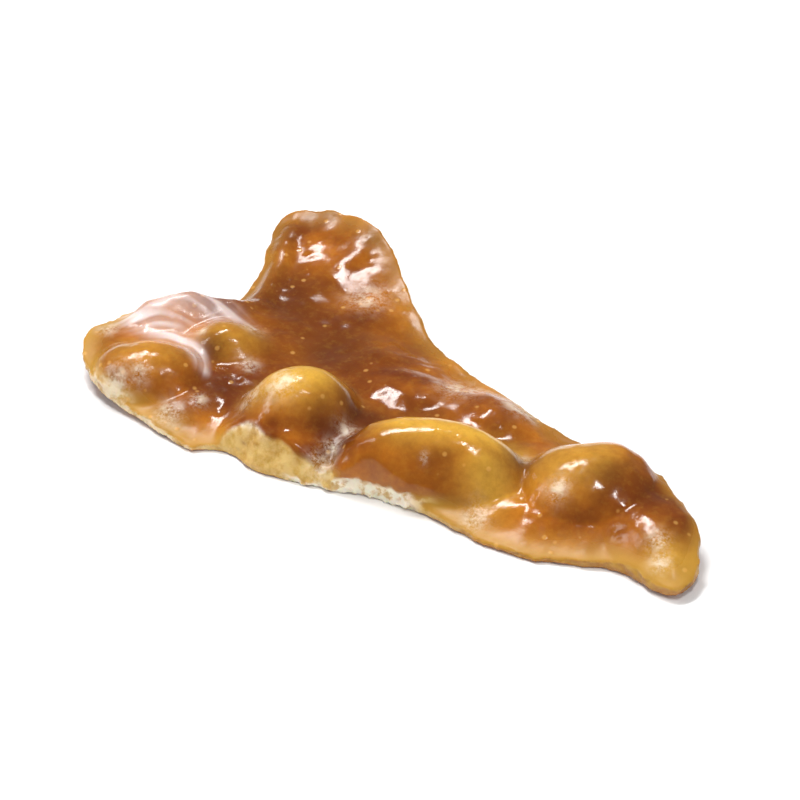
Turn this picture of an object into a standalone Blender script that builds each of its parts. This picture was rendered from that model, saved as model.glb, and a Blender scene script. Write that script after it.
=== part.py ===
"""One shard of cashew brittle: a poured toffee sheet, broken along its edges, over whole coated nuts.

Sizes are in millimetres and become metres through MM. X is the shard's long axis, Z points up, and
the shard lies on Z = 0 with its poured side up. The origin is the bottom centre of its box.
"""

import math

import bmesh
import bpy
import numpy as np
from mathutils import Vector, noise

MM = 0.001
SEED = 7

# Toffee sheet
SHEET_THICK = 3.2
EDGE_THICK = 1.3
EDGE_REACH = 5.0
TOFFEE_COLOUR = (0.47, 0.18, 0.03, 1.0)
TOFFEE_ROUGHNESS = 0.25

# Outline of the sheet seen from above, anticlockwise from the left end: front break, tip, rear, wing
OUTLINE = [
    (-53.4, -19.6),
    (-48.6, -25.9),
    (-43.6, -28.4),
    (-36.2, -29.3),
    (-28.5, -29.9),
    (-24.4, -30.3),
    (-19.6, -27.2),
    (-13.2, -28.6),
    (-5.0, -26.2),
    (0.4, -24.6),
    (5.2, -22.6),
    (16.8, -21.8),
    (27.6, -22.2),
    (34.4, -19.8),
    (40.2, -17.0),
    (46.2, -15.9),
    (52.6, -16.4),
    (54.2, -12.0),
    (51.0, -5.9),
    (44.8, -1.4),
    (38.4, 2.0),
    (30.6, 3.4),
    (22.4, 3.6),
    (12.0, 6.2),
    (1.0, 8.8),
    (-10.0, 12.2),
    (-19.0, 18.6),
    (-28.0, 24.6),
    (-37.6, 26.0),
    (-45.0, 24.2),
    (-46.9, 19.8),
    (-43.7, 12.8),
    (-42.0, 6.2),
    (-41.8, 2.4),
    (-43.0, -0.6),
    (-48.6, -3.6),
    (-51.8, -9.6),
    (-52.2, -14.9),
]
OUTLINE_STEPS = 6
BREAK_WIGGLE = 0.6
BREAK_WAVE = 4.2

# Whole nuts under the toffee: centre and top of the coat, half length and half width, turn of the long
# axis and bend of the cashew in degrees, how blunt its ends and how domed its back are, and the radius of
# the toffee run in round the foot
NUTS = {
    "lobe_nut": {
        "at": (-38.2, -21.6, 7.2), "half": (9.4, 6.8), "turn": 33,
        "bend": 25, "blunt": 2.4, "dome": 0.6, "foot": 3.2,
    },
    "lobe_rear_nut": {
        "at": (-33.4, -9.4, 7.2), "half": (7.4, 5.6), "turn": 36,
        "bend": 0, "blunt": 2.0, "dome": 0.8, "foot": 4.0,
    },
    "round_nut": {
        "at": (-14.0, -16.4, 11.2), "half": (9.8, 8.2), "turn": 44,
        "bend": 0, "blunt": 2.2, "dome": 0.6, "foot": 4.0,
    },
    "long_nut": {
        "at": (10.0, -16.4, 10.9), "half": (14.6, 7.5), "turn": 26,
        "bend": 62, "blunt": 3.2, "dome": 0.58, "foot": 4.8,
    },
    "right_nut": {
        "at": (31.2, -5.8, 9.4), "half": (9.8, 8.6), "turn": 22,
        "bend": 15, "blunt": 2.2, "dome": 0.54, "foot": 6.0,
    },
    "tail_swell": {
        "at": (43.4, -7.8, 5.9), "half": (11.8, 7.2), "turn": -32,
        "bend": 0, "blunt": 2.0, "dome": 0.9, "foot": 4.4,
    },
    "broken_foot": {
        "at": (-13.0, -23.6, 6.4), "half": (9.6, 5.6), "turn": 8,
        "bend": 0, "blunt": 2.0, "dome": 0.5, "foot": 3.2,
    },
    "rear_left_swell": {
        "at": (-5.4, -2.6, 4.6), "half": (8.0, 5.6), "turn": 15,
        "bend": 0, "blunt": 2.0, "dome": 0.9, "foot": 4.4,
    },
    "rear_right_swell": {
        "at": (9.6, 1.0, 5.0), "half": (8.6, 5.2), "turn": -12,
        "bend": 0, "blunt": 2.0, "dome": 0.9, "foot": 4.4,
    },
}
NUT_FALL = 9.0
SKIRT_HEIGHT = 1.1
SKIRT_SPREAD = 1.5

# Pulled ridge along the lobe's back and up the wing's edge: place, height over the sheet and half width
RIDGE = [
    (-50.0, -15.0, 0.6, 2.6),
    (-47.4, -10.0, 3.6, 3.6),
    (-43.0, -5.4, 4.8, 3.8),
    (-38.6, -2.2, 4.0, 3.6),
    (-37.2, 1.6, 2.0, 2.8),
    (-38.6, 7.0, 1.5, 2.2),
    (-41.2, 13.0, 1.2, 1.9),
    (-43.6, 19.0, 1.0, 1.9),
]
RIDGE_CLEAR = 1.4

# Slanting break under the round nut: its stretch of the front edge, the height of its foot and its slope
SLANT_FROM = -22.5
SLANT_TO = -2.5
SLANT_FOOT = 1.2
SLANT_SLOPE = 1.7
SLANT_FADE = 2.0

# Thick crumbly lip of the front break beside the long nut: its stretch, height and reach
LIP_FROM = -6.5
LIP_TO = 10.0
LIP_FADE = 3.0
LIP_HEIGHT = 1.5
LIP_REACH = 2.4

# Margins that curl up as the toffee sets: direction in degrees, where it starts, its reach and its lift
CURLS = [
    {"towards": 205, "start": 36.0, "reach": 18.0, "lift": 2.2},
    {"towards": 118, "start": 15.0, "reach": 30.0, "lift": 5.0},
    {"towards": 72, "start": 3.5, "reach": 9.0, "lift": 2.4},
    {"towards": 0, "start": 42.0, "reach": 12.0, "lift": 0.8},
]

# Swells of the poured surface, and crags of the broken edge
SWELL_HEIGHT = 0.8
SWELL_WAVE = 9.0
CRAG_DEPTH = 0.45
CRAG_WAVE = 2.6
CRAG_REACH = 1.6
CRAG_SHIFT = 20.0

# Surface making
FLAT_VOXEL = 0.8
VOXEL = 0.6
SMOOTH_STEPS = 3
SMOOTH_SHARE = 0.5
TRIANGLES = 9600
FLAT_WITHIN = 0.01
WELD = 0.001


def clear_scene():
    for found in list(bpy.data.objects):
        bpy.data.objects.remove(found, do_unlink=True)


def new_collection(name):
    made = bpy.data.collections.new(name)
    bpy.context.scene.collection.children.link(made)
    return made


def toffee_material():
    material = bpy.data.materials.new("toffee")
    material.use_nodes = True
    shader = material.node_tree.nodes["Principled BSDF"]
    shader.inputs["Base Color"].default_value = TOFFEE_COLOUR
    shader.inputs["Roughness"].default_value = TOFFEE_ROUGHNESS
    shader.inputs["Metallic"].default_value = 0.0
    return material


def smooth_ring(corners, steps):
    """A closed Catmull-Rom curve through the corners, as points."""
    ring = []
    for i in range(len(corners)):
        before, start, end, after = (Vector(corners[(i + k) % len(corners)]) for k in (-1, 0, 1, 2))
        for step in range(steps):
            t = step / steps
            ring.append(
                0.5
                * (
                    2 * start
                    + (end - before) * t
                    + (2 * before - 5 * start + 4 * end - after) * t**2
                    + (3 * start - before - 3 * end + after) * t**3
                )
            )
    return ring


def broken_ring():
    """The outline with the small steps of a break."""
    ring = []
    for point in smooth_ring(OUTLINE, OUTLINE_STEPS):
        step = noise.noise_vector(point.to_3d() / BREAK_WAVE) * BREAK_WIGGLE
        ring.append(point + step.to_2d())
    return ring


def make_sheet(ring, collection):
    """The outline as a flat slab with its underside on the table."""
    curve = bpy.data.curves.new("sheet_outline", "CURVE")
    curve.dimensions = "2D"
    curve.fill_mode = "BOTH"
    curve.extrude = 0.5 * SHEET_THICK * MM
    spline = curve.splines.new("POLY")
    spline.points.add(len(ring) - 1)
    for target, point in zip(spline.points, ring):
        target.co = (point.x * MM, point.y * MM, 0.0, 1.0)
    spline.use_cyclic_u = True
    outline = bpy.data.objects.new("sheet_outline", curve)
    outline.location.z = 0.5 * SHEET_THICK * MM
    collection.objects.link(outline)
    bpy.context.view_layer.update()
    graph = bpy.context.evaluated_depsgraph_get()
    mesh = bpy.data.meshes.new_from_object(outline.evaluated_get(graph))
    mesh.transform(outline.matrix_world)
    welder = bmesh.new()
    welder.from_mesh(mesh)
    bmesh.ops.remove_doubles(welder, verts=welder.verts, dist=WELD * MM)
    bmesh.ops.recalc_face_normals(welder, faces=welder.faces)
    welder.to_mesh(mesh)
    welder.free()
    made = bpy.data.objects.new("brittle", mesh)
    collection.objects.link(made)
    bpy.data.objects.remove(outline, do_unlink=True)
    return made


def apply_all(made):
    """The object's mesh as its modifiers leave it."""
    bpy.context.view_layer.update()
    graph = bpy.context.evaluated_depsgraph_get()
    mesh = bpy.data.meshes.new_from_object(made.evaluated_get(graph))
    made.modifiers.clear()
    made.data = mesh


def remesh(made, voxel, smooth_steps):
    """An even skin of quads, smoothed a little."""
    even = made.modifiers.new("even", "REMESH")
    even.mode = "VOXEL"
    even.voxel_size = voxel * MM
    if smooth_steps:
        smooth = made.modifiers.new("smooth", "SMOOTH")
        smooth.factor = SMOOTH_SHARE
        smooth.iterations = smooth_steps
    apply_all(made)


def points_of(made):
    """The mesh's points in millimetres."""
    points = np.empty(len(made.data.vertices) * 3)
    made.data.vertices.foreach_get("co", points)
    return points.reshape(-1, 3) / MM


def set_points(made, points):
    made.data.vertices.foreach_set("co", (points * MM).ravel())
    made.data.update()


def noise_at(points, wave, shift=0.0):
    return np.array([noise.noise(Vector(point) / wave + Vector((shift,) * 3)) for point in points])


def distance_to_ring(xy, ring):
    """Each point's distance to the nearest stretch of a closed line of points."""
    starts = np.array([tuple(point) for point in ring])
    nearest = np.full(len(xy), np.inf)
    for start, end in zip(starts, np.roll(starts, -1, axis=0)):
        run = end - start
        share = np.clip(((xy - start) @ run) / (run @ run), 0.0, 1.0)
        nearest = np.minimum(nearest, np.linalg.norm(xy - start - share[:, None] * run, axis=1))
    return nearest


def run_together(low, high, radius):
    """The higher of two surfaces, with a fillet of toffee where they meet."""
    overlap = np.maximum(radius - np.abs(low - high), 0.0)
    return np.maximum(low, high) + overlap**2 / (4 * radius)


def nut_out(xy, nut):
    """How far out from a nut's middle a place is along the cashew's bend, where 1 is its rim."""
    turn = math.radians(nut["turn"])
    half_length, half_width = nut["half"]
    offset = xy - nut["at"][:2]
    along = offset[:, 0] * math.cos(turn) + offset[:, 1] * math.sin(turn)
    across = -offset[:, 0] * math.sin(turn) + offset[:, 1] * math.cos(turn)
    if nut["bend"]:
        radius = 2 * half_length / math.radians(nut["bend"])
        sag = radius * (1 - math.cos(math.radians(nut["bend"]) / 2)) / 2
        down = across + radius - sag
        along, across = np.arctan2(along, down) * radius, np.hypot(along, down) - radius
    return np.sqrt(np.abs(along / half_length) ** nut["blunt"] + (across / half_width) ** 2)


def nut_height(out, nut):
    """Height of a nut's coated back, a rounded cap that drops away past its rim."""
    return nut["at"][2] * np.maximum(1 - out**2, 0.0) ** nut["dome"] - NUT_FALL * np.maximum(out - 1, 0.0)


def ridge_height(xy):
    """What the pulled ridge adds, which grows and fades along its line."""
    added = np.zeros(len(xy))
    for start, end in zip(RIDGE, RIDGE[1:]):
        run = np.subtract(end[:2], start[:2])
        share = np.clip(((xy - start[:2]) @ run) / (run @ run), 0.0, 1.0)
        away = np.linalg.norm(xy - start[:2] - share[:, None] * run, axis=1)
        height, width = (start[k] + share * (end[k] - start[k]) for k in (2, 3))
        added = np.maximum(added, height * np.exp(-((away / width) ** 2)))
    return added


def poured_height(xy, edge):
    """Height of the poured side over the table, before the margins curl and the front breaks."""
    height = SHEET_THICK - (SHEET_THICK - EDGE_THICK) * np.exp(-((edge / EDGE_REACH) ** 2))
    front_lip = within(xy[:, 0], LIP_FROM, LIP_TO, LIP_FADE) * (xy[:, 1] < 0.0)
    height += LIP_HEIGHT * front_lip * np.exp(-((edge / LIP_REACH) ** 4))
    height += SWELL_HEIGHT * noise_at(np.column_stack([xy, np.zeros(len(xy))]), SWELL_WAVE)
    outs = [nut_out(xy, nut) for nut in NUTS.values()]
    bare = np.prod([1 - np.exp(-((out / SKIRT_SPREAD) ** 2)) for out in outs], axis=0)
    height += SKIRT_HEIGHT * (1 - bare) * (1 - np.exp(-((edge / EDGE_REACH) ** 2)))
    for out, nut in zip(outs, NUTS.values()):
        height = run_together(height, nut_height(out, nut), nut["foot"])
    return height + ridge_height(xy) * (1 - np.exp(-((edge / RIDGE_CLEAR) ** 2)))


def within(values, low, high, fade):
    """1 between low and high, falling to 0 over the fade on both sides."""
    beyond = np.maximum(np.maximum(low - values, values - high), 0.0)
    return np.clip(1 - beyond / fade, 0.0, 1.0)


def slant_height(xy, edge):
    """Height of the slanting break over the table, far above the shard away from its stretch."""
    beyond = np.maximum(np.maximum(SLANT_FROM - xy[:, 0], xy[:, 0] - SLANT_TO), 0.0)
    return SLANT_FOOT + SLANT_SLOPE * edge + SHEET_THICK * (beyond / SLANT_FADE) ** 2


def curl_lift(xy):
    """How far the margins have curled up off the table."""
    lift = np.zeros(len(xy))
    for curl in CURLS:
        angle = math.radians(curl["towards"])
        past = xy @ (math.cos(angle), math.sin(angle)) - curl["start"]
        lift += curl["lift"] * (np.maximum(past, 0.0) / curl["reach"]) ** 2
    return lift


def pour(made, ring):
    """The flat slab's upper side raised over the nuts."""
    points = points_of(made)
    share = np.clip(points[:, 2] / SHEET_THICK, 0.0, 1.0)
    edge = distance_to_ring(points[:, :2], ring)
    height = np.minimum(poured_height(points[:, :2], edge), slant_height(points[:, :2], edge))
    points[:, 2] = share * height
    set_points(made, points)


def roughen_break(made, ring):
    """Crags in the broken edge, pushed in and out along the surface's normals."""
    points = points_of(made)
    normals = np.empty(len(points) * 3)
    made.data.vertices.foreach_get("normal", normals)
    normals = normals.reshape(-1, 3)
    near = np.exp(-((distance_to_ring(points[:, :2], ring) / CRAG_REACH) ** 2))
    outward = near * (1 - np.abs(normals[:, 2])) * CRAG_DEPTH * noise_at(points, CRAG_WAVE, CRAG_SHIFT)
    points[:, :2] += normals[:, :2] * outward[:, None]
    set_points(made, points)


def curl_margins(made):
    points = points_of(made)
    points[:, 2] = np.maximum(points[:, 2], 0.0) + curl_lift(points[:, :2])
    set_points(made, points)


def thin_out(made):
    """Fewer triangles, for a light solid."""
    triangles = sum(len(face.vertices) - 2 for face in made.data.polygons)
    thin = made.modifiers.new("thin", "DECIMATE")
    thin.ratio = min(TRIANGLES / triangles, 1.0)
    thin.use_collapse_triangulate = True
    apply_all(made)


def centre_on_origin(made):
    """The bottom centre of the shard's box on the origin, and its resting face quite flat."""
    points = points_of(made)
    low, high = points.min(axis=0), points.max(axis=0)
    points -= ((low[0] + high[0]) / 2, (low[1] + high[1]) / 2, low[2])
    points[points[:, 2] < FLAT_WITHIN, 2] = 0.0
    set_points(made, points)


def main():
    clear_scene()
    noise.seed_set(SEED)
    food = new_collection("brittle_shard")
    ring = broken_ring()
    brittle = make_sheet(ring, food)
    remesh(brittle, FLAT_VOXEL, 0)
    pour(brittle, ring)
    remesh(brittle, VOXEL, SMOOTH_STEPS)
    roughen_break(brittle, ring)
    curl_margins(brittle)
    thin_out(brittle)
    centre_on_origin(brittle)
    brittle.data.materials.clear()
    brittle.data.materials.append(toffee_material())
    brittle.data.shade_smooth()


main()
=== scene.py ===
"""The looks of a shard of cashew brittle: glossy poured toffee over whole nuts, and its crumbly breaks.

Sizes are in millimetres and become metres through MM. The plan of the sheet and its nuts is the one of
the solid, which the fine skin replaces inside the same box.
"""

import math
import random

import bmesh
import bpy
import numpy as np
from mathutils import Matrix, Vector, noise


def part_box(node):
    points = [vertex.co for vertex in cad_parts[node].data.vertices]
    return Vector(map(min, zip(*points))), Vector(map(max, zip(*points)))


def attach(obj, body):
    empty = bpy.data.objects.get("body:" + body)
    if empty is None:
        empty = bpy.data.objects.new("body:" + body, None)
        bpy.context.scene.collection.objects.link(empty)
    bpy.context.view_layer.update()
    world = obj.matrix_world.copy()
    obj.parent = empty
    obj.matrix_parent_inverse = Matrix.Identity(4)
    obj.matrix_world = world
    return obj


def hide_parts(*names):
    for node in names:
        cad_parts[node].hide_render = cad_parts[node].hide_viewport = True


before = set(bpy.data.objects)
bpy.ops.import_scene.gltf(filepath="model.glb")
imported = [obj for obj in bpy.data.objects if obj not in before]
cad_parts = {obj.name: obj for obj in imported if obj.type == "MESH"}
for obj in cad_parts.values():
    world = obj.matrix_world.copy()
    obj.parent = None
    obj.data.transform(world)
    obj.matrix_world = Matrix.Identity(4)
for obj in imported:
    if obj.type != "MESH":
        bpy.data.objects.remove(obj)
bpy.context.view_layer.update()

MM = 0.001
SEED = 7

# Toffee sheet
SHEET_THICK = 3.2
EDGE_THICK = 1.3
EDGE_REACH = 5.0

# Outline of the sheet seen from above, anticlockwise from the left end: front break, tip, rear, wing
OUTLINE = [
    (-53.4, -19.6),
    (-48.6, -25.9),
    (-43.6, -28.4),
    (-36.2, -29.3),
    (-28.5, -29.9),
    (-24.4, -30.3),
    (-19.6, -27.2),
    (-13.2, -28.6),
    (-5.0, -26.2),
    (0.4, -24.6),
    (5.2, -22.6),
    (16.8, -21.8),
    (27.6, -22.2),
    (34.4, -19.8),
    (40.2, -17.0),
    (46.2, -15.9),
    (52.6, -16.4),
    (54.2, -12.0),
    (51.0, -5.9),
    (44.8, -1.4),
    (38.4, 2.0),
    (30.6, 3.4),
    (22.4, 3.6),
    (12.0, 6.2),
    (1.0, 8.8),
    (-10.0, 12.2),
    (-19.0, 18.6),
    (-28.0, 24.6),
    (-37.6, 26.0),
    (-45.0, 24.2),
    (-46.9, 19.8),
    (-43.7, 12.8),
    (-42.0, 6.2),
    (-41.8, 2.4),
    (-43.0, -0.6),
    (-48.6, -3.6),
    (-51.8, -9.6),
    (-52.2, -14.9),
]
OUTLINE_STEPS = 6
BREAK_WIGGLE = 0.6
BREAK_WAVE = 4.2

# Whole nuts under the toffee: centre and top of the coat, half length and half width, turn of the long
# axis and bend of the cashew in degrees, how blunt its ends and how domed its back are, and the radius of
# the toffee run in round the foot
NUTS = {
    "lobe_nut": {
        "at": (-38.2, -21.6, 7.2), "half": (9.4, 6.8), "turn": 33,
        "bend": 25, "blunt": 2.4, "dome": 0.6, "foot": 3.2,
    },
    "lobe_rear_nut": {
        "at": (-33.4, -9.4, 7.2), "half": (7.4, 5.6), "turn": 36,
        "bend": 0, "blunt": 2.0, "dome": 0.8, "foot": 4.0,
    },
    "round_nut": {
        "at": (-14.0, -16.4, 11.2), "half": (9.8, 8.2), "turn": 44,
        "bend": 0, "blunt": 2.2, "dome": 0.6, "foot": 4.0,
    },
    "long_nut": {
        "at": (10.0, -16.4, 10.9), "half": (14.6, 7.5), "turn": 26,
        "bend": 62, "blunt": 3.2, "dome": 0.58, "foot": 4.8,
    },
    "right_nut": {
        "at": (31.2, -5.8, 9.4), "half": (9.8, 8.6), "turn": 22,
        "bend": 15, "blunt": 2.2, "dome": 0.54, "foot": 6.0,
    },
    "tail_swell": {
        "at": (43.4, -7.8, 5.9), "half": (11.8, 7.2), "turn": -32,
        "bend": 0, "blunt": 2.0, "dome": 0.9, "foot": 4.4,
    },
    "broken_foot": {
        "at": (-13.0, -23.6, 6.4), "half": (9.6, 5.6), "turn": 8,
        "bend": 0, "blunt": 2.0, "dome": 0.5, "foot": 3.2,
    },
    "rear_left_swell": {
        "at": (-5.4, -2.6, 4.6), "half": (8.0, 5.6), "turn": 15,
        "bend": 0, "blunt": 2.0, "dome": 0.9, "foot": 4.4,
    },
    "rear_right_swell": {
        "at": (9.6, 1.0, 5.0), "half": (8.6, 5.2), "turn": -12,
        "bend": 0, "blunt": 2.0, "dome": 0.9, "foot": 4.4,
    },
}
NUT_FALL = 9.0
SKIRT_HEIGHT = 1.1
SKIRT_SPREAD = 1.5

# How far each nut shows pale through its coat, and where its palest place lies from its middle, moved
# towards its lit side as painted light
PALE_AND_LIT_NUTS = {
    "lobe_nut": (0.35, (-2.0, 0.5)),
    "lobe_rear_nut": (0.5, (0.5, 0.0)),
    "round_nut": (1.0, (-1.6, 1.2)),
    "long_nut": (0.95, (1.4, 3.6)),
    "right_nut": (0.55, (-2.4, -0.6)),
}

# Painted light: places painted golden for light shining through thin toffee and for the nuts' lit sides:
# middle, radius and share
PAINTED_LIGHT_PLACES = [
    ((19.8, -14.8), 4.2, 0.95),
    ((4.0, -13.0), 4.2, 1.0),
    ((10.0, -11.6), 4.2, 0.95),
    ((13.0, -7.2), 3.2, 0.6),
    ((50.6, -13.2), 4.2, 0.9),
    ((-10.6, -12.6), 3.0, 0.6),
]

# Painted shade: places painted dark brown where shade falls, in dips, on shaded flanks and over the wing:
# middle, radius and share
PAINTED_SHADE_PLACES = [
    ((40.6, -3.8), 5.0, 0.75),
    ((36.6, -5.6), 3.4, 0.5),
    ((39.6, -9.6), 4.0, 0.25),
    ((-27.8, -19.0), 4.0, 0.75),
    ((-7.2, -18.0), 3.4, 0.6),
    ((-2.8, -20.2), 3.2, 0.95),
    ((-33.0, 6.0), 10.0, 0.85),
    ((-20.0, 0.0), 11.0, 0.9),
    ((-5.0, -12.6), 4.6, 0.95),
    ((21.8, -8.6), 2.8, 0.8),
    ((4.4, -22.8), 3.4, 0.12),
    ((9.4, -21.4), 3.0, 0.15),
    ((13.8, -19.6), 2.6, 0.15),
    ((-34.0, -13.8), 3.2, 0.85),
    ((1.6, -6.6), 5.0, 0.6),
    ((15.0, -3.4), 4.6, 0.6),
]

# Pulled ridge along the lobe's back and up the wing's edge: place, height over the sheet and half width
RIDGE = [
    (-50.0, -15.0, 0.6, 2.6),
    (-47.4, -10.0, 3.6, 3.6),
    (-43.0, -5.4, 4.8, 3.8),
    (-38.6, -2.2, 4.0, 3.6),
    (-37.2, 1.6, 2.0, 2.8),
    (-38.6, 7.0, 1.5, 2.2),
    (-41.2, 13.0, 1.2, 1.9),
    (-43.6, 19.0, 1.0, 1.9),
]
RIDGE_CLEAR = 1.4

# Pulled toffee, with a painted sheen on it: along the ridge, and round the lobe nut in a crescent, as
# place, share and half width. The fine lines in it run in rings about PULL_CENTRE
PULLED_SHEEN_CREST = [
    (-50.4, -12.6, 0.7, 1.6),
    (-46.4, -9.2, 1.0, 3.4),
    (-41.8, -6.6, 1.0, 3.2),
    (-36.4, -4.4, 0.7, 1.5),
    (-33.0, -4.6, 0.3, 1.2),
]
PULLED_SHEEN_CRESCENT = [
    (-48.6, -13.6, 1.0, 2.4),
    (-44.2, -12.6, 1.0, 3.0),
    (-39.8, -13.2, 0.95, 2.0),
    (-35.2, -15.0, 0.9, 1.4),
    (-31.6, -17.8, 0.7, 0.9),
]
PULL_CENTRE = (-38.2, -21.6)

# Slanting break under the round nut: its stretch of the front edge, the height of its foot and its slope
SLANT_FROM = -22.5
SLANT_TO = -2.5
SLANT_FOOT = 1.2
SLANT_SLOPE = 1.7
SLANT_FADE = 2.0
# Hollows in the slanting break as place, radius and share, which the colour also darkens as painted shade
SLANT_HOLLOWS = [((-16.6, -27.6), 1.5, 1.0), ((-11.4, -26.6), 1.1, 0.5), ((-7.4, -25.4), 1.3, 0.6)]
HOLLOW_DEPTH = 0.35

# Thick crumbly lip of the front break beside the long nut: its stretch, height and reach
LIP_FROM = -6.5
LIP_TO = 10.0
LIP_FADE = 3.0
LIP_HEIGHT = 1.5
LIP_REACH = 2.4

# Margins that curl up as the toffee sets: direction in degrees, where it starts, its reach and its lift
CURLS = [
    {"towards": 205, "start": 36.0, "reach": 18.0, "lift": 2.2},
    {"towards": 118, "start": 15.0, "reach": 30.0, "lift": 5.0},
    {"towards": 72, "start": 3.5, "reach": 9.0, "lift": 2.4},
    {"towards": 0, "start": 42.0, "reach": 12.0, "lift": 0.8},
]

# Swells of the poured surface, and crags of the broken edge as wave, height and place in the noise
SWELL_HEIGHT = 0.8
SWELL_WAVE = 9.0
CRAGS = ((2.6, 0.42, 20.0), (1.2, 0.21, 27.0), (0.6, 0.105, 34.0))
SLANT_CALM = 0.55
REAR_CRAGS = 0.5

# Ripples of the poured side as wave, height and place in the noise, and how much calmer they run over the
# nuts and at the margin
RIPPLES = ((6.0, 0.42, 50.0), (3.0, 0.18, 59.0), (1.4, 0.05, 68.0))
NUT_CALM = 0.55
MARGIN_CALM = 0.9

# Fine lines of the pulled toffee, and single lumps as place, radius and height
STRIATION_WAVE = 1.1
STRIATION_STRETCH = 7.0
STRIATION_HEIGHT = 0.1
LUMPS = [((-28.6, -24.2), 2.0, 0.55), ((-25.2, -22.2), 1.6, -0.4), ((-31.6, -26.4), 1.5, 0.3)]

# Pits and blisters: depth as a share of the radius, the share of them that are pits, and the raised rim
# with its place and its width in radii
PIT_COUNT = 170
PIT_RADIUS = (0.25, 0.6)
PIT_REACH = 2.5
PIT_DEPTH = 0.2
PIT_RIM = 0.12
PIT_RIM_PLACE = 1.3
PIT_RIM_WIDTH = 0.35
SUNK_SHARE = 0.3

# Grainy spots, where small crystals and broken bubbles catch the light, whitened with frost and painted
# glints: place and radius
GRAINS = [
    ((-15.6, -19.0), 2.2),
    ((-20.0, -20.6), 1.7),
    ((-31.0, -27.0), 2.0),
    ((-40.6, -28.0), 2.2),
    ((-28.4, -23.2), 1.4),
    ((-38.0, -25.2), 1.4),
    ((-37.0, -11.0), 0.9),
    ((-32.0, -5.4), 1.6),
    ((-27.2, -12.0), 1.4),
    ((-4.2, -24.2), 1.8),
    ((-4.6, -20.8), 1.5),
    ((-4.8, -16.8), 1.4),
    ((11.0, -19.0), 0.6),
    ((30.0, -11.8), 1.5),
    ((20.4, -7.0), 1.4),
    ((21.0, -19.8), 1.8),
    ((47.2, -11.4), 1.6),
    ((49.4, -13.8), 1.4),
    ((-50.6, -17.6), 1.6),
    ((2.0, 3.0), 3.2),
    ((12.0, 4.2), 2.4),
    ((-24.0, 14.0), 3.0),
]
GRAIN_HEIGHT = 0.07
GRAIN_WAVE = 0.55
GRAIN_SHIFT = 80.0

# Crumbs of the sugary break as wave, height and place in the noise
CRUMBS = ((1.3, 0.5, 90.0), (0.7, 0.3, 97.0))

# Between which values a mark rises from 0 to 1: how far the skin faces up, sideways and not down, how far
# to the front it is, how near a nut's middle, and how deep the slanting break has cut
UPWARD = (-0.2, 0.5)
SIDEWAYS = (0.3, 0.75)
OFF_UNDERSIDE = (-0.95, -0.6)
FRONT = (2.0, 12.0)
NUT_TOP = (-0.1, 0.7)
SLANT_CUT = (0.1, 0.7)

# Crust of the broken edge: its height, how softly and how raggedly it ends there, and its reach inwards
CRUST_HEIGHT = 3.4
CRUST_FADE = 1.0
CRUST_RAGGED = 0.8
CRUST_WAVE = 1.6
CRUST_SHIFT = 30.0
CRUST_REACH = 1.1

# Stretches of the front edge, as left end, right end and fade: the painted highlight on the crease of the
# slanting break with its depth and width, the pale break with its share elsewhere, and the lobe's sugary
# rim
CREASE_STRETCH = (-18.6, -15.4, 3.0)
CREASE_CUT = 0.4
CREASE_WIDTH = 0.38
PALE_STRETCH = (-40.0, 12.0, 12.0)
PALE_LEAST = 0.3
RIM_STRETCH = (-48.0, -25.0, 3.0)
RIM_SUGAR = 0.5

# Painted glow where light shines through the thin edge: its reach, its share at the rear, and the heights
# where it ends
GLOW_REACH = 3.0
GLOW_REAR = 0.5
GLOW_HEIGHTS = (2.4, 4.6)

# Marks that the material reads
PAINTED = ("edge", "wall", "pale", "sugar", "crease_highlight", "hollow", "nut", "painted_shade", "grain", "pulled_and_sheen", "streak")

# Skin: weld of the slab, voxels of the slab and of the poured sheet, smoothing, how little the underside
# faces up, the share of its triangles that it keeps and how strictly, and how spare room in the solid's
# box is shared out under the skin's low corner
WELD = 0.001
FLAT_VOXEL = 0.5
VOXEL = 0.27
SMOOTH_STEPS = 10
SMOOTH_FACTOR = 0.5
UNDER_MARK = 0.02
UNDER_SHARE = 0.22
UNDER_WEIGHT = 10.0
ROOM_SHARES = (0.5, 0.5, 0.0)

# Colours, as the photograph's values in 0 to 255
AMBER = (188, 110, 24)
DEEP_AMBER = (118, 54, 12)
# Painted shade in the dips and on shaded flanks
PAINTED_SHADE_BROWN = (88, 38, 10)
# Also the painted light on the nuts' lit sides and in the golden places
NUT_GOLD = (223, 173, 66)
# Also the painted glow of the thin edge
EDGE_GOLD = (198, 151, 56)
BUBBLE = (236, 180, 96)
CREAM = (230, 196, 124)
SUGAR = (253, 242, 220)
# Painted sheen of the pulled toffee
PAINTED_SHEEN = (236, 220, 216)

# Noises of the material: scale, detail and roughness
CLOUD = (110, 4, 0.5)
MOTTLE = (800, 4, 0.7)
SPECK = (2300, 3, 0.6)
PATCH = (520, 4, 0.6)
GLOSS = (300, 3, 0.5)
RIPPLE = (420, 5, 0.6)
GRIT = (2600, 3, 0.7)

# Bubbles: cells to the metre, how much of its cell a bubble fills, and the value that picks its cells
BUBBLE_CELLS = 420.0
BUBBLE_SHARE = 0.2
BUBBLE_PICK = 0.56

# Shares of the colours: two values of a noise or a mark, and the shares at them
AMBER_CLOUD = (0.34, 0.66, 0.0, 1.0)
NUT_CLOUD = (0.3, 0.6, 0.6, 1.0)
DARK_MOTTLE = (0.45, 0.8, 0.0, 0.3)
GOLD_MOTTLE = (0.5, 0.2, 0.0, 0.12)
# Painted sheen along the pulled lines
PAINTED_SHEEN_STREAK = (0.25, 0.7, 0.35, 1.0)
CREAM_PATCH = (0.3, 0.54, 0.0, 1.0)
# Less pale in the hollows, as painted shade
PALE_IN_HOLLOW_SHADE = (0.0, 1.0, 0.9, 0.45)
SUGAR_PATCH = (0.4, 0.52, 0.2, 1.0)
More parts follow.
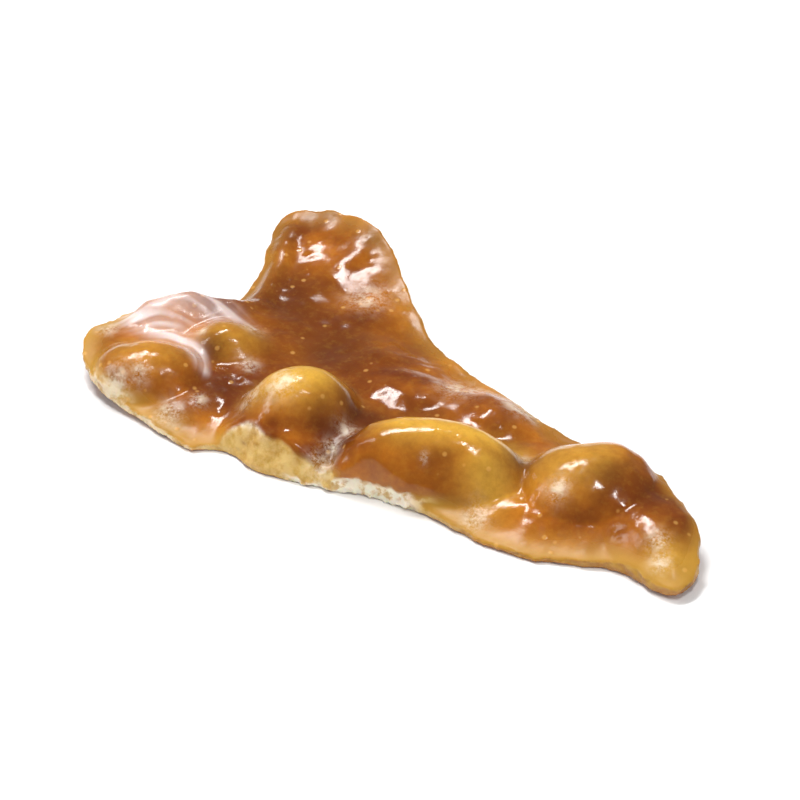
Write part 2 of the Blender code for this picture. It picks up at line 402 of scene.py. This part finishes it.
# Painted highlight along the crease
CREASE_HIGHLIGHT_PATCH = (0.4, 0.56, 0.15, 0.75)
# Frosty whitening with painted glints in the grainy spots
FROST_AND_GLINT_SPECK = (0.4, 0.7, 0.0, 0.5)
FROST_AND_GLINT_PATCH = (0.44, 0.6, 0.0, 0.6)
# Share of the painted glow at the thin edge
EDGE_GLOW_SHARE = 0.75
BUBBLE_TINT = 0.4

# Roughness: two values of its noise and the roughness at them, and what the marks add
CLEAR_GLOSS = (0.3, 0.7, 0.09, 0.2)
DULLNESS = {"wall": 0.3, "edge": 0.34, "grain": 0.06, "pulled_and_sheen": 0.14}

# Bump: rise of the ripples, the bubbles and the grit, with the grit's shares in grainy spots and elsewhere
RIPPLE_RISE = 0.6
BUBBLE_RISE = 0.3
GRAIN_GRIT = 1.1
GRIT_LEAST = 0.05
BUMP_STRENGTH = 0.35
BUMP_DEPTH = 0.3

# Body of the toffee: its gloss, and how the light spreads in it
BODY = {
    "IOR": 1.5,
    "Specular IOR Level": 0.32,
    "Subsurface Weight": 0.35,
    "Subsurface Radius": (1.0, 0.5, 0.2),
    "Subsurface Scale": 1.2 * MM,
}

# White floor, its size in metres
FLOOR_WHITE = (252, 252, 252)
FLOOR_SIZE = 6.0
FLOOR_ROUGHNESS = 0.6

# Camera, at the photograph's angle: it looks along the shard from its broad end's front
CAMERA_TURN = 36.4
CAMERA_RISE = 37.0
CAMERA_DISTANCE = 606.0
CAMERA_LENS = 180.0
CAMERA_CLIP = 10.0
AIM = (-5.0, -2.0, 3.0)

# Lights: name, place to the camera's right, away from it and up, size, watts, and whether gloss mirrors it
LIGHTS = [
    ("high_back_box", (-180, 265, 605), (340, 105), 4.0, True),
    ("top_front_spot", (60, -170, 620), (56, 56), 1.0, True),
    ("left_strip", (-560, 100, 360), (60, 300), 0.6, True),
    ("right_fill", (460, -220, 360), (360, 300), 0.5, False),
    ("front_fill", (-60, -560, 300), (400, 260), 0.42, False),
]
WORLD_WHITE = (1.0, 1.0, 1.0, 1.0)
WORLD_STRENGTH = 0.24


def linear(colour):
    """A photograph's colour as the light it stands for."""
    shares = [value / 255 for value in colour]
    return tuple(c / 12.92 if c <= 0.04045 else ((c + 0.055) / 1.055) ** 2.4 for c in shares) + (1.0,)


def smooth_ring(corners, steps):
    """A closed Catmull-Rom curve through the corners, as points."""
    ring = []
    for i in range(len(corners)):
        before, start, end, after = (Vector(corners[(i + k) % len(corners)]) for k in (-1, 0, 1, 2))
        for step in range(steps):
            t = step / steps
            ring.append(
                0.5
                * (
                    2 * start
                    + (end - before) * t
                    + (2 * before - 5 * start + 4 * end - after) * t**2
                    + (3 * start - before - 3 * end + after) * t**3
                )
            )
    return ring


def broken_ring():
    """The outline with the small steps of a break."""
    ring = []
    for point in smooth_ring(OUTLINE, OUTLINE_STEPS):
        step = noise.noise_vector(point.to_3d() / BREAK_WAVE) * BREAK_WIGGLE
        ring.append(point + step.to_2d())
    return ring


def evaluated_mesh(made):
    """A new mesh of the object, as its curve or its modifiers leave it."""
    bpy.context.view_layer.update()
    graph = bpy.context.evaluated_depsgraph_get()
    return bpy.data.meshes.new_from_object(made.evaluated_get(graph))


def make_sheet(ring):
    """The outline as a flat slab with its underside on the table."""
    curve = bpy.data.curves.new("sheet_outline", "CURVE")
    curve.dimensions = "2D"
    curve.fill_mode = "BOTH"
    curve.extrude = 0.5 * SHEET_THICK * MM
    spline = curve.splines.new("POLY")
    spline.points.add(len(ring) - 1)
    for target, point in zip(spline.points, ring):
        target.co = (point.x * MM, point.y * MM, 0.0, 1.0)
    spline.use_cyclic_u = True
    outline = bpy.data.objects.new("sheet_outline", curve)
    outline.location.z = 0.5 * SHEET_THICK * MM
    bpy.context.scene.collection.objects.link(outline)
    mesh = evaluated_mesh(outline)
    mesh.transform(outline.matrix_world)
    welder = bmesh.new()
    welder.from_mesh(mesh)
    bmesh.ops.remove_doubles(welder, verts=welder.verts, dist=WELD * MM)
    bmesh.ops.recalc_face_normals(welder, faces=welder.faces)
    welder.to_mesh(mesh)
    welder.free()
    made = bpy.data.objects.new("brittle_skin", mesh)
    bpy.context.scene.collection.objects.link(made)
    bpy.data.objects.remove(outline, do_unlink=True)
    return made


def apply_all(made):
    """The object's modifiers made final."""
    mesh = evaluated_mesh(made)
    made.modifiers.clear()
    made.data = mesh


def remesh(made, voxel, smooth_steps):
    """An even skin of quads, smoothed a little."""
    even = made.modifiers.new("even", "REMESH")
    even.mode = "VOXEL"
    even.voxel_size = voxel * MM
    if smooth_steps:
        smooth = made.modifiers.new("smooth", "SMOOTH")
        smooth.factor = SMOOTH_FACTOR
        smooth.iterations = smooth_steps
    apply_all(made)


def points_of(made):
    """The mesh's points in millimetres."""
    points = np.empty(len(made.data.vertices) * 3)
    made.data.vertices.foreach_get("co", points)
    return points.reshape(-1, 3) / MM


def normals_of(made):
    """The way that the skin faces at each point."""
    normals = np.empty(len(made.data.vertices) * 3)
    made.data.vertices.foreach_get("normal", normals)
    return normals.reshape(-1, 3)


def set_points(made, points):
    """The mesh's points moved to places in millimetres."""
    made.data.vertices.foreach_set("co", (points * MM).ravel())
    made.data.update()


def noise_at(points, wave, shift=0.0):
    """Noise of a wave length at each point, from another place in the noise for each shift."""
    return np.array([noise.noise(Vector(point) / wave + Vector((shift,) * 3)) for point in points])


def flat_noise(xy, wave):
    """Noise that is the same at every height."""
    return noise_at(np.column_stack([xy, np.zeros(len(xy))]), wave)


def rising(values, low, high):
    """0 at low and 1 at high, with soft ends."""
    share = np.clip((values - low) / (high - low), 0.0, 1.0)
    return share * share * (3 - 2 * share)


def fading(distance, reach, power=2):
    """1 at no distance and near 0 past the reach, with a sharper end for a higher power."""
    return np.exp(-((distance / reach) ** power))


def past_ends(values, low, high):
    """How far each value lies outside low to high."""
    return np.maximum(np.maximum(low - values, values - high), 0.0)


def within(values, low, high, fade):
    """1 between low and high, falling to 0 over the fade on both sides."""
    return np.clip(1 - past_ends(values, low, high) / fade, 0.0, 1.0)


def at_least(least, share):
    """A share from 0 to 1 as one from the least to 1."""
    return least + (1 - least) * share


def to_stretch(xy, start, end):
    """Where along a straight stretch each point is nearest to it, from 0 to 1, and its distance."""
    run = np.subtract(end, start)
    share = np.clip(((xy - start) @ run) / (run @ run), 0.0, 1.0)
    return share, np.linalg.norm(xy - start - share[:, None] * run, axis=1)


def distance_to_ring(xy, ring):
    """Each point's distance to the nearest stretch of a closed line of points."""
    starts = np.array([tuple(point) for point in ring])
    nearest = np.full(len(xy), np.inf)
    for start, end in zip(starts, np.roll(starts, -1, axis=0)):
        nearest = np.minimum(nearest, to_stretch(xy, start, end)[1])
    return nearest


def run_together(low, high, radius):
    """The higher of two surfaces, with a fillet of toffee where they meet."""
    overlap = np.maximum(radius - np.abs(low - high), 0.0)
    return np.maximum(low, high) + overlap**2 / (4 * radius)


def nut_out(xy, nut):
    """How far out from a nut's middle a place is along the cashew's bend, where 1 is its rim."""
    turn = math.radians(nut["turn"])
    half_length, half_width = nut["half"]
    offset = xy - nut["at"][:2]
    along = offset[:, 0] * math.cos(turn) + offset[:, 1] * math.sin(turn)
    across = -offset[:, 0] * math.sin(turn) + offset[:, 1] * math.cos(turn)
    if nut["bend"]:
        radius = 2 * half_length / math.radians(nut["bend"])
        sag = radius * (1 - math.cos(math.radians(nut["bend"]) / 2)) / 2
        down = across + radius - sag
        along, across = np.arctan2(along, down) * radius, np.hypot(along, down) - radius
    return np.sqrt(np.abs(along / half_length) ** nut["blunt"] + (across / half_width) ** 2)


def nut_height(out, nut):
    """Height of a nut's coated back, a rounded cap that drops away past its rim."""
    return nut["at"][2] * np.maximum(1 - out**2, 0.0) ** nut["dome"] - NUT_FALL * np.maximum(out - 1, 0.0)


def along_line(xy, line):
    """A rounded bead along a line, as high and as wide as its points say."""
    added = np.zeros(len(xy))
    for start, end in zip(line, line[1:]):
        share, away = to_stretch(xy, start[:2], end[:2])
        height, width = (start[k] + share * (end[k] - start[k]) for k in (2, 3))
        added = np.maximum(added, height * fading(away, width))
    return added


def poured_height(xy, edge):
    """Height of the poured side over the table, before the margins curl and the front breaks."""
    height = SHEET_THICK - (SHEET_THICK - EDGE_THICK) * fading(edge, EDGE_REACH)
    front_lip = within(xy[:, 0], LIP_FROM, LIP_TO, LIP_FADE) * (xy[:, 1] < 0.0)
    height += LIP_HEIGHT * front_lip * fading(edge, LIP_REACH, power=4)
    height += SWELL_HEIGHT * flat_noise(xy, SWELL_WAVE)
    outs = [nut_out(xy, nut) for nut in NUTS.values()]
    bare = np.prod([1 - fading(out, SKIRT_SPREAD) for out in outs], axis=0)
    height += SKIRT_HEIGHT * (1 - bare) * (1 - fading(edge, EDGE_REACH))
    for out, nut in zip(outs, NUTS.values()):
        height = run_together(height, nut_height(out, nut), nut["foot"])
    return height + along_line(xy, RIDGE) * (1 - fading(edge, RIDGE_CLEAR))


def slant_height(xy, edge):
    """Height of the slanting break over the table, far above the shard away from its stretch."""
    beyond = past_ends(xy[:, 0], SLANT_FROM, SLANT_TO)
    return SLANT_FOOT + SLANT_SLOPE * edge + SHEET_THICK * (beyond / SLANT_FADE) ** 2


def curl_lift(xy):
    """How far the margins have curled up off the table."""
    lift = np.zeros(len(xy))
    for curl in CURLS:
        angle = math.radians(curl["towards"])
        past = xy @ (math.cos(angle), math.sin(angle)) - curl["start"]
        lift += curl["lift"] * (np.maximum(past, 0.0) / curl["reach"]) ** 2
    return lift


def pour(made, ring):
    """The flat slab's upper side raised over the nuts."""
    points = points_of(made)
    share = np.clip(points[:, 2] / SHEET_THICK, 0.0, 1.0)
    edge = distance_to_ring(points[:, :2], ring)
    height = np.minimum(poured_height(points[:, :2], edge), slant_height(points[:, :2], edge))
    points[:, 2] = share * height
    set_points(made, points)


def pulled_lines(xy):
    """Fine lines of pulled toffee, which run round the lobe nut, from about -0.5 to 0.5."""
    offset = xy - np.array(PULL_CENTRE)
    across = np.hypot(offset[:, 0], offset[:, 1])
    along = across * np.arctan2(offset[:, 0], offset[:, 1])
    return flat_noise(np.column_stack([along / STRIATION_STRETCH, across]), STRIATION_WAVE)


def spots(xy, places):
    """Soft round spots, the strongest where they meet."""
    marked = np.zeros(len(xy))
    for place, radius, share in places:
        away = np.linalg.norm(xy - np.array(place), axis=1)
        marked = np.maximum(marked, share * fading(away, radius))
    return marked


def to_front(points):
    """How far to the front each point is, from 0 behind the middle line to 1."""
    return rising(-points[:, 1], *FRONT)


def surface_marks(points, normals, ring):
    """What each place of the skin is, as shares from 0 to 1."""
    xy = points[:, :2]
    along = points[:, 0]
    edge = distance_to_ring(xy, ring)
    upward = rising(normals[:, 2], *UPWARD)
    front = to_front(points)
    side = rising(1 - np.abs(normals[:, 2]), *SIDEWAYS)
    cut = poured_height(xy, edge) - slant_height(xy, edge)
    slanted = rising(cut, *SLANT_CUT) * upward
    # Painted highlight along the crease at the top of the slanting break
    crease_highlight = fading(cut - CREASE_CUT, CREASE_WIDTH) * upward * within(along, *CREASE_STRETCH)
    ragged = points[:, 2] + CRUST_RAGGED * noise_at(points, CRUST_WAVE, CRUST_SHIFT)
    low = 1 - rising(ragged, CRUST_HEIGHT - CRUST_FADE, CRUST_HEIGHT)
    wall = np.maximum(side * low * fading(edge, CRUST_REACH, power=4), slanted)
    lip = low * front * within(along, LIP_FROM, LIP_TO, LIP_FADE) * fading(edge, LIP_REACH, power=4)
    lip *= rising(normals[:, 2], *OFF_UNDERSIDE)
    lobe_rim = front * within(along, *RIM_STRETCH)
    # Painted glow where light shines through the thin edge
    glow = fading(edge, GLOW_REACH) * upward * at_least(GLOW_REAR, front)
    nut = np.zeros(len(points))
    # The nuts' pale coat, its palest place moved towards the lit side: partly painted light
    for name, (paleness, palest) in PALE_AND_LIT_NUTS.items():
        nut = np.maximum(nut, paleness * rising(1 - nut_out(xy - palest, NUTS[name]), *NUT_TOP))
    # Painted light: glow through thin toffee and the nuts' lit sides
    nut = np.maximum(nut, spots(xy, PAINTED_LIGHT_PLACES))
    grain = spots(xy, [(place, radius, 1.0) for place, radius in GRAINS])
    # Pulled toffee, which also carries the painted sheen
    pulled_and_sheen = np.maximum(along_line(xy, PULLED_SHEEN_CREST), along_line(xy, PULLED_SHEEN_CRESCENT))
    return {
        "edge": glow * (1 - rising(points[:, 2], *GLOW_HEIGHTS)),
        "wall": np.maximum(wall, lip),
        "pale": wall * at_least(PALE_LEAST, within(along, *PALE_STRETCH)),
        "sugar": np.maximum(lip, RIM_SUGAR * wall * lobe_rim) * (1 - slanted),
        "crease_highlight": crease_highlight,
        "hollow": spots(xy, SLANT_HOLLOWS),
        "nut": nut * upward,
        # Painted shade
        "painted_shade": spots(xy, PAINTED_SHADE_PLACES) * upward,
        "grain": grain * upward,
        "pulled_and_sheen": pulled_and_sheen * upward,
        "streak": 0.5 + pulled_lines(xy),
        "slant": slanted,
        "upward": upward,
    }


def crag_break(made, ring):
    """Crags in the broken edge, pushed in and out along the skin's normals."""
    points, normals = points_of(made), normals_of(made)
    marks = surface_marks(points, normals, ring)
    push = np.zeros(len(points))
    for wave, height, shift in CRAGS:
        push += height * noise_at(points, wave, shift)
    calm = (1 - SLANT_CALM * marks["slant"]) * at_least(REAR_CRAGS, to_front(points))
    points += normals * (push * marks["wall"] * calm)[:, None]
    set_points(made, points)


def pit_push(points, marks):
    """Small pits and blisters of the bubbles that reached the surface."""
    draw = random.Random(SEED)
    low, high = points.min(axis=0), points.max(axis=0)
    push = np.zeros(len(points))
    for _ in range(PIT_COUNT):
        x, y = draw.uniform(low[0], high[0]), draw.uniform(low[1], high[1])
        radius = draw.uniform(*PIT_RADIUS)
        way = -1.0 if draw.random() < SUNK_SHARE else 1.0
        out = np.hypot(points[:, 0] - x, points[:, 1] - y) / radius
        near = out < PIT_REACH
        rim = fading(out[near] - PIT_RIM_PLACE, PIT_RIM_WIDTH)
        push[near] += PIT_DEPTH * radius * (way * fading(out[near], 1.0) + PIT_RIM * rim)
    return push * marks["upward"] * (1 - marks["wall"])


def relief(made, ring):
    """Ripples, pits, pulled lines, lumps and grit on the poured side, and crumbs at the break."""
    points, normals = points_of(made), normals_of(made)
    marks = surface_marks(points, normals, ring)
    push = np.zeros(len(points))
    for wave, height, shift in RIPPLES:
        push += height * noise_at(points, wave, shift)
    push *= marks["upward"] * (1 - NUT_CALM * marks["nut"]) * (1 - MARGIN_CALM * marks["edge"])
    push += pit_push(points, marks)
    push += STRIATION_HEIGHT * (marks["streak"] - 0.5) * marks["pulled_and_sheen"]
    push += GRAIN_HEIGHT * noise_at(points, GRAIN_WAVE, GRAIN_SHIFT) * marks["grain"]
    for wave, height, shift in CRUMBS:
        push += height * noise_at(points, wave, shift) * marks["sugar"]
    push -= HOLLOW_DEPTH * marks["hollow"] * marks["slant"]
    for place, radius, height in LUMPS:
        push += height * marks["upward"] * spots(points[:, :2], [(place, radius, 1.0)])
    points += normals * push[:, None]
    set_points(made, points)


def curl_margins(made):
    """The margins curled up off the table, which nothing goes below."""
    points = points_of(made)
    points[:, 2] = np.maximum(points[:, 2], 0.0) + curl_lift(points[:, :2])
    set_points(made, points)


def paint(made, marks):
    """The marks as attributes that the material reads."""
    for name in PAINTED:
        attribute = made.data.attributes.new(name, "FLOAT", "POINT")
        attribute.data.foreach_set("value", marks[name].astype(np.float32))


def thin_underside(made, upward):
    """Fewer triangles where the skin lies on the table."""
    under = upward < UNDER_MARK
    group = made.vertex_groups.new(name="underside")
    group.add([int(i) for i in np.flatnonzero(under)], 1.0, "REPLACE")
    thin = made.modifiers.new("thin", "DECIMATE")
    thin.ratio = 1.0 - (1.0 - UNDER_SHARE) * float(np.mean(under))
    thin.vertex_group = group.name
    thin.vertex_group_factor = UNDER_WEIGHT
    apply_all(made)


def fit_to_solid(made, low, high):
    """The skin's box over the solid's, no larger than it on any side."""
    points = points_of(made)
    size = points.max(axis=0) - points.min(axis=0)
    room = np.array(high - low) / MM
    spare = room - np.minimum(size, room)
    points *= np.minimum(room / size, 1.0)
    points += np.array(low) / MM - points.min(axis=0) + np.array(ROOM_SHARES) * spare
    set_points(made, points)


def make_skin():
    """The fine skin of the shard, with its marks painted on."""
    noise.seed_set(SEED)
    ring = broken_ring()
    skin = make_sheet(ring)
    remesh(skin, FLAT_VOXEL, 0)
    pour(skin, ring)
    remesh(skin, VOXEL, SMOOTH_STEPS)
    crag_break(skin, ring)
    relief(skin, ring)
    marks = surface_marks(points_of(skin), normals_of(skin), ring)
    paint(skin, marks)
    curl_margins(skin)
    thin_underside(skin, marks["upward"])
    fit_to_solid(skin, *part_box("brittle"))
    skin.data.shade_smooth()
    return skin


def set_inputs(node, values):
    """Fixed values on a node's sockets, by the sockets' names."""
    for name, value in values.items():
        node.inputs[name].default_value = value


class Nodes:
    """Short ways to make and join a material's nodes."""

    # Sockets of a mix node that are its share, its two colours and its result
    MIX_INPUTS = (0, 6, 7)
    MIX_RESULT = 2

    def __init__(self, material):
        material.use_nodes = True
        self.tree = material.node_tree
        self.shader = self.tree.nodes["Principled BSDF"]

    def add(self, kind, **settings):
        """A new node of a kind, with its settings."""
        node = self.tree.nodes.new(kind)
        for name, value in settings.items():
            setattr(node, name, value)
        return node

    def put(self, value, socket):
        """A number or a colour on the socket, or another node's output joined to it."""
        if isinstance(value, (int, float, tuple)):
            socket.default_value = value
        else:
            self.tree.links.new(value, socket)

    def mark(self, name):
        """A mark that is painted on the skin."""
        return self.add("ShaderNodeAttribute", attribute_name=name).outputs["Fac"]

    def math(self, operation, first, second):
        """Two values put together."""
        node = self.add("ShaderNodeMath", operation=operation)
        self.put(first, node.inputs[0])
        self.put(second, node.inputs[1])
        return node.outputs[0]

    def plus(self, first, second):
        return self.math("ADD", first, second)

    def times(self, first, second):
        return self.math("MULTIPLY", first, second)

    def place(self, node):
        """The node reads its pattern at the place on the object."""
        self.put(self.add("ShaderNodeTexCoord").outputs["Object"], node.inputs["Vector"])

    def noise(self, scale, detail, roughness):
        """Noise through the toffee, from 0 to 1."""
        node = self.add("ShaderNodeTexNoise")
        set_inputs(node, {"Scale": scale, "Detail": detail, "Roughness": roughness})
        self.place(node)
        return node.outputs["Fac"]

    def bubbles(self):
        """Small bubbles under the surface, in about a third of the cells of a loose pattern."""
        node = self.add("ShaderNodeTexVoronoi")
        set_inputs(node, {"Scale": BUBBLE_CELLS})
        self.place(node)
        dot = self.range(node.outputs["Distance"], BUBBLE_SHARE, 0.5 * BUBBLE_SHARE)
        return self.times(dot, self.math("GREATER_THAN", node.outputs["Color"], BUBBLE_PICK))

    def range(self, value, low, high, to_low=0.0, to_high=1.0):
        """The value between low and high, as one between two others."""
        node = self.add("ShaderNodeMapRange")
        set_inputs(node, {"From Min": low, "From Max": high, "To Min": to_low, "To Max": to_high})
        self.put(value, node.inputs["Value"])
        return node.outputs["Result"]

    def mix(self, share, first, second):
        """The first colour with a share of the second."""
        node = self.add("ShaderNodeMix", data_type="RGBA")
        for value, socket in zip((share, first, second), self.MIX_INPUTS):
            self.put(value, node.inputs[socket])
        return node.outputs[self.MIX_RESULT]


def toffee_colour(nodes):
    """Amber with painted shade in the dips, golden over the nuts with painted light on their lit sides, a
    painted glow at thin edges, and pale where it broke.
    """
    cloud, mottle, speck, patch = (nodes.noise(*kind) for kind in (CLOUD, MOTTLE, SPECK, PATCH))
    # Nut gold, with the painted light of the lit sides and the golden places
    nut_gold_and_light = nodes.times(nodes.mark("nut"), nodes.range(cloud, *NUT_CLOUD))
    # Painted sheen of the pulled toffee
    pulled = nodes.times(nodes.mark("pulled_and_sheen"), nodes.range(nodes.mark("streak"), *PAINTED_SHEEN_STREAK))
    # Pale break, less pale in the hollows as painted shade
    pale = nodes.times(nodes.mark("pale"), nodes.range(nodes.mark("hollow"), *PALE_IN_HOLLOW_SHADE))
    cream = nodes.mix(nodes.range(patch, *CREAM_PATCH), linear(EDGE_GOLD), linear(CREAM))
    sugar = nodes.times(nodes.mark("sugar"), nodes.range(patch, *SUGAR_PATCH))
    # Painted highlight along the crease
    crease_highlight = nodes.times(nodes.mark("crease_highlight"), nodes.range(patch, *CREASE_HIGHLIGHT_PATCH))
    # Frosty whitening with painted glints
    frost_and_glint = nodes.math("MAXIMUM", nodes.range(speck, *FROST_AND_GLINT_SPECK), nodes.range(patch, *FROST_AND_GLINT_PATCH))
    coats = [
        (nut_gold_and_light, linear(NUT_GOLD)),
        # Painted shade
        (nodes.mark("painted_shade"), linear(PAINTED_SHADE_BROWN)),
        (nodes.range(mottle, *DARK_MOTTLE), linear(DEEP_AMBER)),
        (nodes.range(mottle, *GOLD_MOTTLE), linear(NUT_GOLD)),
        # Painted glow of the thin edge
        (nodes.times(nodes.mark("edge"), EDGE_GLOW_SHARE), linear(EDGE_GOLD)),
        (nodes.times(nodes.bubbles(), BUBBLE_TINT), linear(BUBBLE)),
        (pulled, linear(PAINTED_SHEEN)),
        (pale, cream),
        # Sugar crust, and the painted highlight of the crease
        (nodes.math("MAXIMUM", sugar, crease_highlight), linear(SUGAR)),
        # Frost and painted glints in the grainy spots
        (nodes.times(nodes.mark("grain"), frost_and_glint), linear(SUGAR)),
    ]
    colour = nodes.mix(nodes.range(cloud, *AMBER_CLOUD), linear(DEEP_AMBER), linear(AMBER))
    for share, coat in coats:
        colour = nodes.mix(share, colour, coat)
    return colour


def toffee_roughness(nodes):
    """Glossy where it set against the air, dull where it broke or crystallised."""
    clear = nodes.range(nodes.noise(*GLOSS), *CLEAR_GLOSS)
    dull = {name: nodes.times(nodes.mark(name), share) for name, share in DULLNESS.items()}
    broken = nodes.math("MAXIMUM", dull["wall"], dull["edge"])
    return nodes.plus(nodes.plus(clear, broken), nodes.plus(dull["grain"], dull["pulled_and_sheen"]))


def toffee_bump(nodes):
    """Ripples and bubbles everywhere, and grit mostly at the breaks and in the grainy spots."""
    ripples = nodes.times(nodes.noise(*RIPPLE), RIPPLE_RISE)
    gritty = nodes.plus(nodes.mark("wall"), nodes.times(nodes.mark("grain"), GRAIN_GRIT))
    grit = nodes.times(nodes.noise(*GRIT), nodes.plus(gritty, GRIT_LEAST))
    height = nodes.plus(nodes.plus(ripples, grit), nodes.times(nodes.bubbles(), BUBBLE_RISE))
    bump = nodes.add("ShaderNodeBump")
    set_inputs(bump, {"Strength": BUMP_STRENGTH, "Distance": BUMP_DEPTH * MM})
    nodes.put(height, bump.inputs["Height"])
    return bump.outputs["Normal"]


def toffee_material():
    """Toffee, from its marks and noises."""
    material = bpy.data.materials.new("toffee_skin")
    nodes = Nodes(material)
    nodes.put(toffee_colour(nodes), nodes.shader.inputs["Base Color"])
    nodes.put(toffee_roughness(nodes), nodes.shader.inputs["Roughness"])
    nodes.put(toffee_bump(nodes), nodes.shader.inputs["Normal"])
    set_inputs(nodes.shader, BODY)
    return material


def make_floor():
    """The white table under the shard."""
    bpy.ops.mesh.primitive_plane_add(size=FLOOR_SIZE)
    floor = bpy.context.active_object
    floor.name = "floor"
    material = bpy.data.materials.new("white_table")
    set_inputs(Nodes(material).shader, {"Base Color": linear(FLOOR_WHITE), "Roughness": FLOOR_ROUGHNESS})
    floor.data.materials.append(material)


def area_light(name, place, size, watts, mirrored):
    """A soft box at a place over the shard, turned to it."""
    light = bpy.data.lights.new(name, "AREA")
    light.shape = "RECTANGLE"
    light.size, light.size_y = (side * MM for side in size)
    light.energy = watts
    made = bpy.data.objects.new(name, light)
    made.location = Vector(place) * MM
    made.rotation_euler = (-made.location).to_track_quat("-Z", "Y").to_euler()
    made.visible_glossy = mirrored
    bpy.context.scene.collection.objects.link(made)


def from_camera(right, away, up):
    """A place by how far right, away and up it is, seen as the camera looks."""
    turn = math.radians(CAMERA_TURN)
    return (
        right * math.cos(turn) - away * math.sin(turn),
        right * math.sin(turn) + away * math.cos(turn),
        up,
    )


def make_lights():
    """The soft boxes, and a little white light from all round."""
    for name, place, size, watts, mirrored in LIGHTS:
        area_light(name, from_camera(*place), size, watts, mirrored)
    world = bpy.data.worlds.new("studio")
    world.use_nodes = True
    set_inputs(world.node_tree.nodes["Background"], {"Color": WORLD_WHITE, "Strength": WORLD_STRENGTH})
    bpy.context.scene.world = world


def make_camera():
    """The camera, at the photograph's angle."""
    data = bpy.data.cameras.new("camera")
    data.lens = CAMERA_LENS
    data.clip_start = CAMERA_CLIP * MM
    camera = bpy.data.objects.new("camera", data)
    rise = math.radians(CAMERA_RISE)
    back = from_camera(0, -CAMERA_DISTANCE * math.cos(rise), CAMERA_DISTANCE * math.sin(rise))
    camera.location = (Vector(AIM) + Vector(back)) * MM
    camera.rotation_euler = (-Vector(back)).to_track_quat("-Z", "Y").to_euler()
    bpy.context.scene.collection.objects.link(camera)
    bpy.context.scene.camera = camera


def main():
    skin = make_skin()
    skin.data.materials.clear()
    skin.data.materials.append(toffee_material())
    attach(skin, "root")
    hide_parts("brittle")
    make_floor()
    make_lights()
    make_camera()
    bpy.context.scene.view_settings.view_transform = "Standard"
    bpy.context.scene.cycles.use_denoising = True


main()
